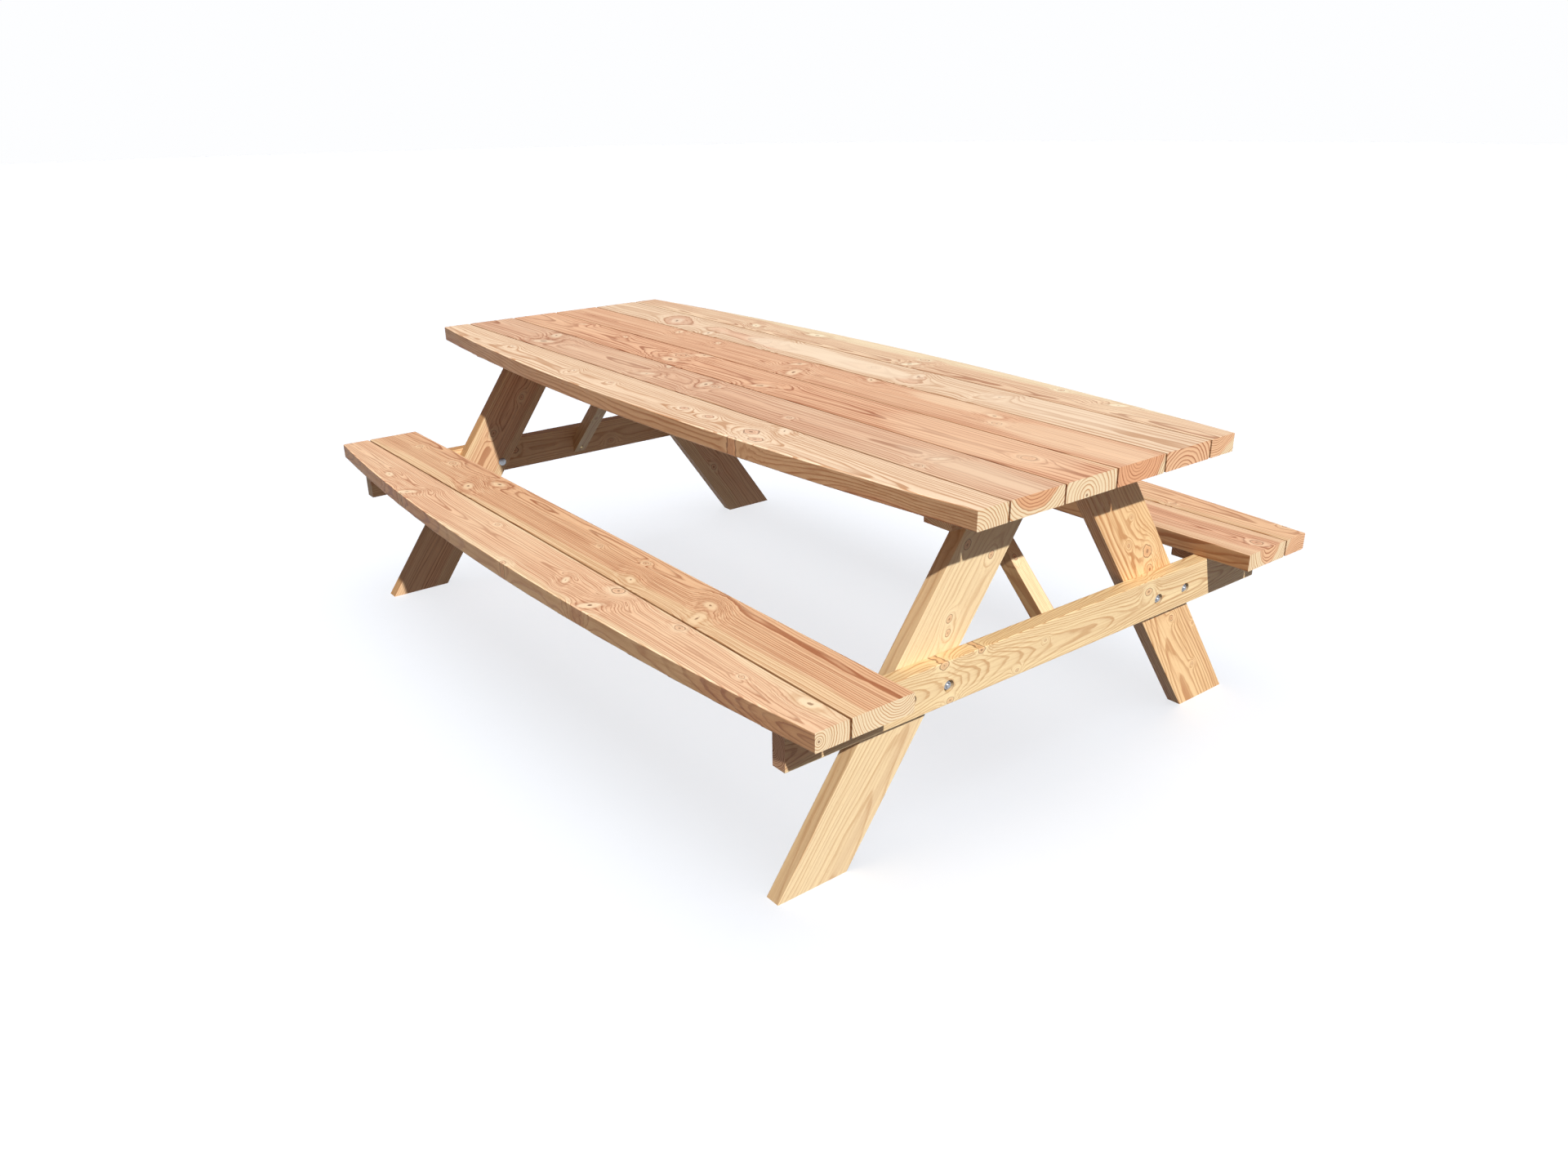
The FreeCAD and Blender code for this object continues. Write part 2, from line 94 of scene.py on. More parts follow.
class FastenerSettings(bpy.types.PropertyGroup):
    """Sizes of the turned and pressed details that finish the fasteners."""

    thread_pitch: FloatProperty(
        name="Thread pitch", description="Distance between two turns of the bolt thread",
        default=1.5 * MM, min=0.5 * MM, max=3 * MM, unit="LENGTH")
    thread_depth: FloatProperty(
        name="Thread depth", description="Depth of the bolt thread",
        default=0.9 * MM, min=0.1 * MM, max=2 * MM, unit="LENGTH")
    thread_length: FloatProperty(
        name="Threaded length", description="Threaded end of a carriage bolt",
        default=18 * MM, min=5 * MM, max=40 * MM, unit="LENGTH")
    screw_thread_pitch: FloatProperty(
        name="Screw pitch", description="Distance between two turns of a wood screw's thread",
        default=3 * MM, min=1 * MM, max=6 * MM, unit="LENGTH")
    steel: color_setting(
        "Zinc", "Colour of the zinc plating", (0.36, 0.38, 0.41))
    screw_steel: color_setting(
        "Yellow zinc", "Colour of the wood screws", (0.62, 0.50, 0.27))
    seed: IntProperty(
        name="Seed", description="Picks how far each nut and screw is turned", default=7, min=0)


class StageSettings(bpy.types.PropertyGroup):
    """Floor, lights and camera."""

    floor: color_setting(
        "Floor", "Colour of the floor", (0.75, 0.755, 0.77))
    floor_radius: FloatProperty(
        name="Floor radius", description="Radius of the floor",
        default=30.0, min=5, max=100, unit="LENGTH")
    key_strength: FloatProperty(
        name="Key light", description="Strength of the key light",
        default=4.3, min=0, max=50)
    key_softness: FloatProperty(
        name="Key light width", description="Width of the key light seen from the table",
        default=math.radians(1.2), min=0, max=math.radians(90), subtype="ANGLE")
    sky: FloatProperty(
        name="Fill from above", description="Strength of the soft light from above",
        default=0.29, min=0, max=5)
    ground: FloatProperty(
        name="Fill from below", description="Strength of the soft light from below",
        default=0.11, min=0, max=5)
    floor_wash: FloatProperty(
        name="Floor light", description="Strength of the plain light that falls on the floor alone",
        default=3.75, min=0, max=50)
    background: FloatProperty(
        name="Background", description="Brightness of the background that the camera sees",
        default=1.0, min=0, max=5)
    lens: FloatProperty(
        name="Lens", description="Focal length of the camera",
        default=27.35, min=10, max=200, unit="CAMERA")


# ---------------------------------------------------------------- node helpers

class Value:
    """A number socket. Arithmetic on it adds Math nodes to its shader."""

    def __init__(self, shader, socket):
        self.shader = shader
        self.socket = socket

    def __add__(self, other):
        return self.shader.math("ADD", self, other)

    def __sub__(self, other):
        return self.shader.math("SUBTRACT", self, other)

    def __rsub__(self, other):
        return self.shader.math("SUBTRACT", other, self)

    def __mul__(self, other):
        return self.shader.math("MULTIPLY", self, other)

    def __truediv__(self, other):
        return self.shader.math("DIVIDE", self, other)


class Shader:
    """A material under construction."""

    def __init__(self, name):
        self.material = bpy.data.materials.new(name)
        self.material.use_nodes = True
        self.tree = self.material.node_tree
        self.tree.nodes.clear()
        self.surface = self.tree.nodes.new("ShaderNodeBsdfPrincipled")
        output = self.tree.nodes.new("ShaderNodeOutputMaterial")
        self.tree.links.new(self.surface.outputs[0], output.inputs[0])
        self.object_place = self.node("ShaderNodeTexCoord", {}, {}, 3)
        self.facing = self.node("ShaderNodeTexCoord", {}, {}, 1)

    def set(self, socket, value):
        """Link a socket to a value, or store a constant in it."""
        if isinstance(value, Value):
            self.tree.links.new(value.socket, socket)
        elif hasattr(socket.default_value, "__len__"):
            given = tuple(value)
            socket.default_value = given + (1.0,) * (len(socket.default_value) - len(given))
        else:
            socket.default_value = value

    def node(self, kind, settings, inputs, output=0):
        """Add any node: its settings first, then the values or links of its sockets."""
        node = self.tree.nodes.new(kind)
        for key, setting in settings.items():
            if key == "stops":
                self.set_stops(node.color_ramp, setting)
            else:
                setattr(node, key, setting)
        for key, value in inputs.items():
            self.set(node.inputs[key], value)
        return Value(self, node.outputs[output])

    def set_stops(self, ramp, stops):
        while len(ramp.elements) > 1:
            ramp.elements.remove(ramp.elements[-1])
        ramp.elements[0].position = stops[0][0]
        for place, level in stops[1:]:
            ramp.elements.new(place)
        for element, (place, level) in zip(ramp.elements, stops):
            element.position = place
            element.color = (level, level, level, 1.0)

    def math(self, operation, *values, clamp=False):
        settings = {"operation": operation, "use_clamp": clamp}
        return self.node("ShaderNodeMath", settings, dict(enumerate(values)))

    def vector(self, operation, *values, output=0):
        settings = {"operation": operation}
        return self.node("ShaderNodeVectorMath", settings, dict(enumerate(values)), output)

    def scaled(self, vector, factor):
        return self.node("ShaderNodeVectorMath", {"operation": "SCALE"}, {0: vector, 3: factor})

    def dot(self, vector, axis):
        return self.vector("DOT_PRODUCT", vector, axis, output=1)

    def join(self, x, y, z):
        return self.node("ShaderNodeCombineXYZ", {}, {0: x, 1: y, 2: z})

    def mix(self, factor, a, b, blend="MIX"):
        settings = {"data_type": "RGBA", "blend_type": blend, "clamp_factor": True}
        return self.node("ShaderNodeMix", settings, {0: factor, 6: a, 7: b}, 2)

    def noise(self, place, scale, detail=2.0, roughness=0.5, output=0):
        """Noise, from 0 to 1 about 0.5."""
        inputs = {"Vector": place, "Scale": scale, "Detail": detail, "Roughness": roughness}
        return self.node("ShaderNodeTexNoise", {"noise_dimensions": "3D"}, inputs, output)

    def step(self, value, low, high):
        """0 below low, 1 above high, with a soft change between them."""
        inputs = {0: value, 1: low, 2: high, 3: 0.0, 4: 1.0}
        return self.node("ShaderNodeMapRange", {"interpolation_type": "SMOOTHSTEP"}, inputs)

    def tinted(self, color, value, low, high, amount, tint):
        """Move a colour towards a tint by an amount, as the value goes from low to high."""
        return self.mix(self.step(value, low, high) * amount, color, tint)

    def ramp(self, value, stops):
        return self.node("ShaderNodeValToRGB", {"stops": stops}, {0: value})

    def finish(self, color, roughness, height, distance, metallic=0.0):
        """Wire the varying finish into the surface."""
        self.set(self.surface.inputs["Base Color"], color)
        self.set(self.surface.inputs["Roughness"], roughness)
        self.set(self.surface.inputs["Metallic"], metallic)
        inputs = {"Strength": 1.0, "Distance": distance, "Height": height}
        bump = self.node("ShaderNodeBump", {}, inputs)
        self.set(self.surface.inputs["Normal"], bump)
        return self.material


# ---------------------------------------------------------------- timber

# Side tones darken the long side faces: partly rougher sawn wood, partly painted shade for the light that the
# sides miss.
SIDE_SAWN_AND_SHADE_TONE = (0.70, 0.565, 0.43)  # long side faces against the planed faces: partly darker sawn wood, partly painted shade
# The same side tone for the legs: partly sawn wood, partly painted shade.
LEG_SIDE_SAWN_AND_SHADE_TONE = (0.85, 0.76, 0.68)
TAN = (1.0, 1.0, 0.96)  # timber out of the sun
END_SAPWOOD = (0.82, 0.68, 0.455)
LEVEL_CUT = 2 * MM  # a leg's vertices this near its ends lie on a level cut
PALE_KNOT_SLANT = math.radians(62)  # largest turn of a pale knot from the grain
KNOT_STRETCH = {"pale": 0.50, "dark": 0.72}  # width of a knot over its length
KNOT_PUSH = 0.86  # share of its offset by which a knot moves the grain
WANDER = 0.055  # how far the pith strays, in metres
RIPPLE = 0.016  # waviness of a ring, in metres
# Share of summer growth through a year, from one winter to the next
YEAR = [(0.0, 0.30), (0.05, 0.0), (0.42, 0.04), (0.66, 0.26), (0.80, 0.95), (0.95, 1.0), (1.0, 0.30)]


class Piece:
    """How one timber was cut from its log.

    grain, across and through are unit vectors. pith is where the log's centre lies, in mm
    across and through from the piece's middle. ring is the width of a year's growth, heart
    the radius of the heartwood. Knots are (along, across, radius) in mm, and pale patches of painted light
    are (along, across, half length, half width, strength). The side tone darkens the long side faces, partly
    as sawn wood and partly as painted shade.
    """

    def __init__(self, node, pith, ring=4.5, heart=60.0, end_heart=None, taper=0.006, contrast=1.0,
                 tone=(1, 1, 1), edge_tone=SIDE_SAWN_AND_SHADE_TONE, end_tone=(1, 1, 1), pale=(), dark=(), painted_light_patches=(),
                 grain=(1, 0, 0), across=(0, 1, 0), through=(0, 0, 1)):
        self.node = node
        self.pith = pith
        self.ring = ring
        self.heart = heart
        self.end_heart = heart if end_heart is None else end_heart
        self.taper = taper
        self.contrast = contrast
        self.tone = tone
        self.edge_tone = edge_tone
        self.end_tone = end_tone
        self.knots = {"pale": pale, "dark": dark}
        self.painted_light_patches = painted_light_patches
        self.grain = grain
        self.across = across
        self.through = through
        low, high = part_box(node)
        self.middle = [(a + b) / 2 for a, b in zip(low, high)]


class Timber(Shader):
    """Growth rings about a wandering pith, knots with the grain flowing round them, end grain."""

    def __init__(self, piece, settings, seed):
        super().__init__("timber_" + piece.node)
        self.piece = piece
        self.settings = settings
        self.seed = seed
        self.shift = (seed * 3.17, seed * 1.31, seed * 2.03)
        self.along = self.from_middle(piece.grain)
        self.place = self.join(self.along, self.from_middle(piece.across), self.from_middle(piece.through))
        self.distance = {}
        self.pushed = self.place
        self.lay_knots()
        self.grow()

    def from_middle(self, axis):
        """How far along an axis a point lies from the piece's middle."""
        return self.dot(self.object_place, axis) - Vector(axis).dot(Vector(self.piece.middle))

    def stretched(self, place, factors, shifted=False):
        """The place scaled along each direction, so that noise on it is drawn out."""
        scaled = self.vector("MULTIPLY", place, factors)
        return self.vector("ADD", scaled, self.shift) if shifted else scaled

    def lay_knots(self):
        """Knots run through the thickness; the grain is pushed aside round each of them."""
        edge = (self.noise(self.place, 70.0, 2.0) - 0.5) * 0.8
        for kind, knots in self.piece.knots.items():
            for x, y, radius in knots:
                self.lay_knot(kind, x, y, radius * MM, edge)

    def lay_knot(self, kind, x, y, reach, edge):
        offset = self.vector("SUBTRACT", self.place, (x * MM, y * MM, 0.0))
        slant = PALE_KNOT_SLANT * math.sin(x * 0.37 + y) if kind == "pale" else 0.0
        cosine = math.cos(slant)
        sine = math.sin(slant)
        stretch = KNOT_STRETCH[kind]
        lengthwise = self.dot(offset, (stretch * cosine / reach, stretch * sine / reach, 0.0))
        sideways = self.dot(offset, (-sine / reach, cosine / reach, 0.0))
        length = self.math("SQRT", lengthwise * lengthwise + sideways * sideways) + edge
        if kind in self.distance:
            self.distance[kind] = self.math("MINIMUM", self.distance[kind], length)
        else:
            self.distance[kind] = length
        push = self.math("EXPONENT", length * length * -0.16)
        self.pushed = self.vector("SUBTRACT", self.pushed, self.scaled(offset, push * KNOT_PUSH))

    def grow(self):
        """Distance from the pith, which wanders slowly along the log, and the year's growth there."""
        piece = self.piece
        wander = self.noise(self.stretched(self.pushed, (1.3, 0.6, 0.6), True), 1.0, 1.0, output=1)
        wander_y = self.dot(wander, (1, 0, 0)) - 0.5
        wander_z = self.dot(wander, (0, 1, 0)) - 0.5
        flow = self.stretched(self.pushed, (3.0, 13.0, 13.0), True)
        self.ripple = self.noise(flow, 1.0, 3.0, 0.55) - 0.5
        self.v = self.dot(self.pushed, (0, 1, 0)) - piece.pith[0] * MM + wander_y * WANDER
        self.w = self.dot(self.pushed, (0, 0, 1)) - piece.pith[1] * MM + wander_z * WANDER
        straight = self.math("SQRT", self.v * self.v + self.w * self.w)
        self.radius = straight + self.ripple * RIPPLE + self.along * piece.taper
        growth = self.radius / (piece.ring * MM)
        uneven = self.noise(self.join(growth * 0.37, self.seed * 5.0, 0.0), 1.0, 1.0) - 0.5
        growth = growth + uneven * 1.1
        year = self.join(self.math("FLOOR", growth) * 7.31, 0.5, self.seed * 1.7)
        strength = self.noise(year, 1.0, 0.0)
        late = self.ramp(self.math("FRACT", growth), YEAR)
        self.late = self.math("MULTIPLY", late, strength * 1.5 + 0.25, clamp=True)

    def sapwood(self, heart, softness):
        """0 in the heartwood and 1 in the sapwood."""
        return self.step(self.radius + self.ripple * 0.02 - heart * MM, -softness, softness)

    def face_color(self):
        """Sapwood to heartwood, darker summer growth, long streaks and fine fibres."""
        settings = self.settings
        contrast = self.piece.contrast
        sap = self.sapwood(self.piece.heart, 0.006)
        self.early_color = self.mix(sap, settings.heart_early, settings.sap_early)
        self.late_color = self.mix(sap, settings.heart_late, settings.sap_late)
        color = self.mix(self.late * (0.92 * contrast), self.early_color, self.late_color)
        self.streak_place = self.stretched(self.pushed, (0.9, 26.0, 26.0), True)
        streak = self.noise(self.streak_place, 1.0, 3.0, 0.6)
        color = self.tinted(color, streak, 0.45, 0.85, 0.30, settings.heart_late)
        color = self.tinted(color, streak, 0.52, 0.15, 0.34, settings.sap_early)
        line = self.noise(self.stretched(self.pushed, (1.4, 170.0, 170.0)), 1.0, 2.0, 0.6)
        color = self.mix(self.step(line, 0.50, 0.66) * (0.42 * contrast), color, self.late_color)
        color = self.tinted(color, line, 0.48, 0.30, 0.34, settings.knot_pale)
        self.fibre = self.noise(self.stretched(self.pushed, (22.0, 1100.0, 1100.0)), 1.0, 2.0, 0.6)
        fleck = self.noise(self.stretched(self.pushed, (90.0, 1500.0, 1500.0)), 1.0, 0.0)
        color = self.tinted(color, self.fibre, 0.45, 0.75, 0.12, self.late_color)
        return self.tinted(color, fleck, 0.62, 0.80, 0.22, settings.heart_late)

    def pale_knots(self, color, height):
        """Live knots: a pale heart with faint rings and no rim."""
        d = self.distance["pale"]
        settings = self.settings
        rings = self.math("SINE", d * 17.0) * 0.5 + 0.5
        core = self.mix(rings * 0.40, settings.knot_pale, self.early_color)
        color = self.tinted(color, d, 2.4, 0.9, 0.30, self.late_color)
        color = self.tinted(color, d, 1.25, 0.55, 0.85, core)
        color = self.tinted(color, d, 0.30, 0.08, 0.9, settings.knot_dark)
        return color, height + self.step(d, 1.1, 0.7) * 0.8

    def dark_knots(self, color, height):
        """Dead knots: a dark heart and a sunk dark rim."""
        d = self.distance["dark"]
        settings = self.settings
        rings = self.math("SINE", d * 15.0) * 0.5 + 0.5
        core = self.mix(rings * 0.40, settings.heart_early, settings.heart_late)
        color = self.tinted(color, d, 2.6, 1.2, 0.45, settings.knot_pale)
        color = self.tinted(color, d, 1.05, 0.80, 0.9, core)
        color = self.tinted(color, d, 0.42, 0.12, 0.75, settings.knot_dark)
        rim = self.step(d, 0.80, 0.96) * self.step(d, 1.12, 0.98)
        color = self.mix(rim * 0.80, color, settings.knot_dark)
        return color, height + self.step(d, 1.1, 0.7) * 0.6 - rim * 0.8

    def toned(self, color):
        """Slow change of tone over the piece, pale patches of painted light, and long side faces darkened
        partly as sawn wood and partly as painted shade.
        """
        piece = self.piece
        blotch = self.noise(self.stretched(self.place, (2.2, 5.0, 5.0), True), 1.0, 2.0)
        color = self.tinted(color, blotch, 0.42, 0.78, 0.30, self.settings.sap_early)
        # Painted light: pale patches where light fell brighter on the top, painted into the colour.
        for x, y, half_length, half_width, amount in piece.painted_light_patches:
            offset = self.vector("SUBTRACT", self.place, (x * MM, y * MM, 0.0))
            spread = self.stretched(offset, (1 / (half_length * MM), 1 / (half_width * MM), 0.0))
            reach = self.vector("LENGTH", spread, output=1) + (blotch - 0.5) * 1.2 + self.ripple * 0.8
            color = self.tinted(color, reach, 1.15, 0.75, amount, self.settings.knot_pale)
        color = self.mix(1.0, color, piece.tone, "MULTIPLY")
        # Painted shade, in part: the long side faces take the side tone, darker than sawn wood alone would
        # make them.
        sawn = self.step(self.math("ABSOLUTE", self.dot(self.facing, piece.across)), 0.75, 0.95)
        return self.mix(sawn, color, self.mix(1.0, color, piece.edge_tone, "MULTIPLY"))

    def end_grain(self):
        """Colour and height of the sawn ends, where the rings lie bare."""
        piece = self.piece
        settings = self.settings
        sap = self.sapwood(piece.end_heart, 0.004)
        heart = tuple(a * b for a, b in zip(settings.heart_early, piece.end_tone))
        late_color = self.mix(sap, settings.heart_late, settings.sap_late)
        color = self.mix(self.late * 0.95, self.mix(sap, heart, END_SAPWOOD), late_color)
        pore = self.noise(self.place, 900.0, 2.0, 0.7)
        turn = self.math("ARCTAN2", self.v, self.w)
        ray = self.noise(self.join(turn * 60.0, self.radius * 40.0, 0.0), 1.0, 1.0)
        color = self.tinted(color, pore, 0.5, 0.8, 0.25, late_color)
        color = self.tinted(color, ray, 0.5, 0.8, 0.14, settings.sap_early)
        pith = self.step(self.radius - self.along * piece.taper, 0.0040, 0.0022)
        saw = self.noise(self.stretched(self.place, (0.0, 60.0, 900.0)), 1.0, 1.0)
        height = self.late * 0.5 + pore * 0.5 + saw * 0.7
        return self.mix(pith * 0.8, color, settings.knot_dark), height

    def finished(self):
        color = self.face_color()
        height = self.late * 0.35 + self.fibre * 0.55
        if "pale" in self.distance:
            color, height = self.pale_knots(color, height)
        if "dark" in self.distance:
            color, height = self.dark_knots(color, height)
        color = self.toned(color)
        ends = self.step(self.math("ABSOLUTE", self.dot(self.facing, self.piece.grain)), 0.55, 0.75)
        end_color, end_height = self.end_grain()
        color = self.mix(ends, color, end_color)
        height = ends * end_height + (1 - ends) * height
        rough = self.noise(self.streak_place, 2.0, 2.0) * 0.16 + (self.settings.roughness - 0.08)
        rough = rough - self.late * 0.06 + ends * 0.18
        self.surface.inputs["Specular IOR Level"].default_value = 0.35
        return self.finish(color, rough, height, self.settings.relief)


def top_boards():
    """The six boards of the top, from the left edge to the right, some with pale patches of painted light."""
    return [
        Piece("top_board_1", pith=(-20, -33), ring=6.0, heart=26, tone=(1.12, 1.17, 1.33),
              pale=[(500, 53, 15), (-312, 1, 7), (-700, 20, 9)],
              dark=[(199, 1, 9), (297, 1, 9), (458, -3, 15), (510, -31, 13), (465, -66, 12), (-130, 4, 6)]),
        Piece("top_board_2", pith=(0, 58), ring=7.0, heart=90, end_heart=76, contrast=0.9,
              tone=(1.04, 1.08, 1.2), end_tone=(0.92, 0.82, 0.75), painted_light_patches=[(930, 10, 240, 45, 0.3)],
              pale=[(-760, 40, 17), (-710, -30, 20), (38, 22, 15), (-158, -27, 13),
                    (-186, 60, 9), (850, 8, 9)],
              dark=[(75, 24, 7), (857, -52, 7), (420, -20, 5)]),
        Piece("top_board_3", pith=(-11, -16), ring=9.0, heart=95, end_heart=5, taper=0.014, contrast=1.1,
              tone=(1.1, 1.05, 1.09), painted_light_patches=[(820, 0, 280, 90, 0.35)],
              pale=[(-262, -38, 20), (-240, 60, 20), (136, -37, 15), (-865, 40, 10), (-606, 33, 8)],
              dark=[(-284, 12, 13), (959, -5, 12)]),
        Piece("top_board_4", pith=(-12, 21), ring=7.0, heart=120, end_heart=84, contrast=0.9,
              tone=(1.1, 1.09, 1.15), end_tone=(0.94, 0.80, 0.74),
              painted_light_patches=[(560, 42, 150, 36, 0.5), (940, 0, 210, 60, 0.4)],
              pale=[(77, -36, 18), (10, 36, 13), (269, 57, 13), (-564, 43, 12), (-354, 36, 9), (700, 30, 12)],
              dark=[(745, -12, 9)]),
        Piece("top_board_5", pith=(-13, -42), ring=9.0, heart=52, end_heart=110, contrast=0.9,
              tone=(1.08, 1.14, 1.31),
              painted_light_patches=[(-130, 10, 190, 42, 0.8), (150, -5, 190, 45, 0.8), (760, 10, 240, 60, 0.4)],
              pale=[(-725, -9, 22), (-228, 26, 15), (318, 19, 15), (591, 15, 12), (-494, -51, 15)],
              dark=[(-298, 5, 12), (171, 10, 12), (330, 12, 6)]),
        Piece("top_board_6", pith=(-55, 60), ring=5.0, heart=90, tone=(1.15, 1.34, 1.52), contrast=0.85,
              pale=[(-256, 16, 18), (-494, -25, 14), (199, -47, 14), (815, 9, 12)],
              dark=[(192, 16, 10), (640, 23, 7)]),
    ]


def bench_boards():
    """Both boards of both benches."""
    return [
        Piece("seat_board_left_inner", pith=(48, 46), ring=5.4, heart=95, end_heart=20, taper=0.012,
              tone=(1.06, 1.05, 1.04),
              pale=[(-448, 34, 15), (-490, -35, 15), (574, 11, 13), (609, -45, 15), (350, -42, 11)],
              dark=[(-942, 17, 7), (-714, 20, 9), (290, 34, 6), (129, 10, 5)]),
        Piece("seat_board_left_outer", pith=(8, 11), ring=5.0, heart=60, end_heart=8, taper=0.012,
              tone=(1.14, 1.2, 1.28), contrast=0.8,
              pale=[(262, -5, 9), (1025, 51, 14), (-550, -33, 13), (-732, -12, 11), (416, -33, 15)],
              dark=[(388, 51, 12), (626, 48, 9), (871, 19, 5), (-158, 37, 6), (-550, -60, 8), (80, -66, 8)]),
        Piece("seat_board_right_inner", pith=(0, 34), ring=5.6, heart=50, tone=(1.07, 1.03, 1.08),
              pale=[(640, 30, 13), (-300, -20, 14), (120, 40, 12)],
              dark=[(1074, 10, 11), (-700, 12, 8), (380, -30, 6)]),
        Piece("seat_board_right_outer", pith=(0, -44), ring=4.8, heart=80, tone=(1.1, 1.1, 1.1),
              pale=[(-560, 20, 12), (250, -25, 13)],
              dark=[(1060, 10, 7), (790, -51, 6), (-120, 30, 8), (530, 15, 6)]),
    ]


def on_leg(piece, mark):
    """Turn a knot given as (y, z, radius) into the leg's own directions."""
    y, z, radius = mark
    middle = Vector(piece.middle)
    offset = Vector((middle.x, y * MM, z * MM)) - middle
    return (offset.dot(Vector(piece.grain)) / MM, offset.dot(Vector(piece.across)) / MM, radius)


def leg_piece(node, side, marks=(), **words):
    """A leg's grain runs up its slope; side is 1 on the right and -1 on the left."""
    low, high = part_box(node)
    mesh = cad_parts[node].data
    foot = max(side * v.co.y for v in mesh.vertices if v.co.z < LEVEL_CUT)
    head = max(side * v.co.y for v in mesh.vertices if v.co.z > high[2] - LEVEL_CUT)
    slope = Vector((0.0, side * (head - foot), high[2] - low[2])).normalized()
    across = (0.0, slope.z, -slope.y)
    piece = Piece(node, grain=tuple(slope), across=across, through=(1, 0, 0), **words)
    if marks:
        piece.knots["dark"] = [on_leg(piece, mark) for mark in marks]
    return piece


def legs():
    left_marks = [(-290, 470, 7), (-292, 442, 6), (-182, 577, 7), (-250, 615, 8), (-675, 100, 3)]
    right_marks = [(332, 458, 13), (350, 410, 10), (260, 555, 4), (262, 487, 4),
                   (460, 258, 6), (575, 102, 4), (550, 220, 4)]
    return [
        leg_piece("leg_near_left", -1, left_marks, pith=(35, -45), ring=7.5, heart=34, taper=0.02,
                  tone=(1.0, 1.06, 1.04), contrast=0.5, edge_tone=LEG_SIDE_SAWN_AND_SHADE_TONE),
        leg_piece("leg_near_right", 1, right_marks, pith=(-20, -60), ring=5.5, heart=56, taper=0.016,
                  tone=(1.02, 0.95, 0.82), contrast=1.2, edge_tone=LEG_SIDE_SAWN_AND_SHADE_TONE),
        leg_piece("leg_far_left", -1, pith=(-15, 55), ring=5.0, heart=62, tone=TAN, contrast=0.8,
                  dark=[(-60, 22, 10), (120, -20, 8), (260, 10, 7)]),
        leg_piece("leg_far_right", 1, pith=(20, 50), ring=5.5, heart=58, tone=TAN, contrast=0.8,
                  dark=[(-180, -22, 9), (60, 18, 11), (240, -8, 7)]),
    ]


def beams():
    lie = {"grain": (0, 1, 0), "across": (0, 0, 1), "through": (1, 0, 0)}
    near_dark = [(-335, 41, 9), (-232, 43, 7), (-314, -40, 7), (303, 22, 9), (-40, 6, 3), (-122, -36, 4)]
    far_dark = [(-260, 10, 10), (90, -22, 8), (420, 20, 11), (610, -14, 8)]
    return [
        Piece("seat_beam_near", pith=(-3, -22), ring=3.4, heart=12, tone=(1.0, 1.06, 1.0), taper=0.056,
              contrast=0.85, edge_tone=(0.94, 0.88, 0.80), dark=near_dark, **lie),
        Piece("seat_beam_far", pith=(12, 50), ring=5.0, heart=34, tone=(1.0, 0.94, 0.86), taper=0.016,
              contrast=0.8, dark=far_dark, **lie),
    ]


def cleats():
    lie = {"grain": (0, 1, 0), "across": (1, 0, 0), "through": (0, 0, 1)}
    names = ["top_cleat_near", "top_cleat_far", "brace_cleat_near", "brace_cleat_far",
             "seat_cleat_near_left", "seat_cleat_near_right", "seat_cleat_far_left", "seat_cleat_far_right",
             "seat_batten_left", "seat_batten_right"]
    pieces = []
    for index, name in enumerate(names):
        pith = (-30 + 17 * (index % 4), -50 + 35 * (index % 3))
        knot = (-60 + 37 * (index % 4), 12 - 9 * (index % 3), 7)
        pieces.append(Piece(name, pith=pith, ring=4.6, heart=46, tone=TAN, contrast=0.8, dark=[knot], **lie))
    return pieces


def braces():
    pieces = []
    for end, side in (("near", 1), ("far", -1)):
        low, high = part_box("brace_" + end)
        slope = Vector((-side * (high[0] - low[0]), 0.0, high[2] - low[2])).normalized()
        pieces.append(Piece(
            "brace_" + end, pith=(25, 28), ring=4.0, heart=8, tone=(1.05, 1.10, 1.08), contrast=0.7,
            dark=[(60, 4, 5), (-70, -6, 6)], grain=tuple(slope), across=(0, 1, 0),
            through=(side * slope.z, 0.0, abs(slope.x))))
    return pieces


def trestle_pieces():
    """Legs, beams, cleats and braces."""
    return legs() + beams() + cleats() + braces()


def clothe(pieces, settings, first_seed):
    """Give each timber the finish of its own piece of the log."""
    for index, piece in enumerate(pieces):
        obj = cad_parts[piece.node]
        finish = Timber(piece, settings, first_seed + index).finished()
        obj.data.materials.clear()
        obj.data.materials.append(finish)


# ---------------------------------------------------------------- fasteners

BOLT_RADIUS = 5.0 * MM
DOME_RISE = 5.0 * MM
DOME_TIP = 0.2 * MM  # radius of the small flat on top of the dome
THREAD_RUN_OUT = 1.0 * MM  # over which the thread fades at the bolt's end
ROWS_PER_TURN = 5  # rows of mesh in one turn of the bolt's thread
NUT_BORE = 5.05 * MM  # radius
NUT_EASE = 0.9 * MM  # countersink at both ends of the bore
NUT_CHAMFER = math.radians(30)
WASHER_BORE = 5.25 * MM  # radius
WASHER_EASE = 0.35 * MM
SMOOTH_BELOW = 35  # degrees between faces that are shaded as one
FULL_TURN = 6.0  # largest turn of a wood screw, in radians


def at_both_ends(*kinds):
    return ["%s_%s" % (kind, end) for kind in kinds for end in ("near", "far")]


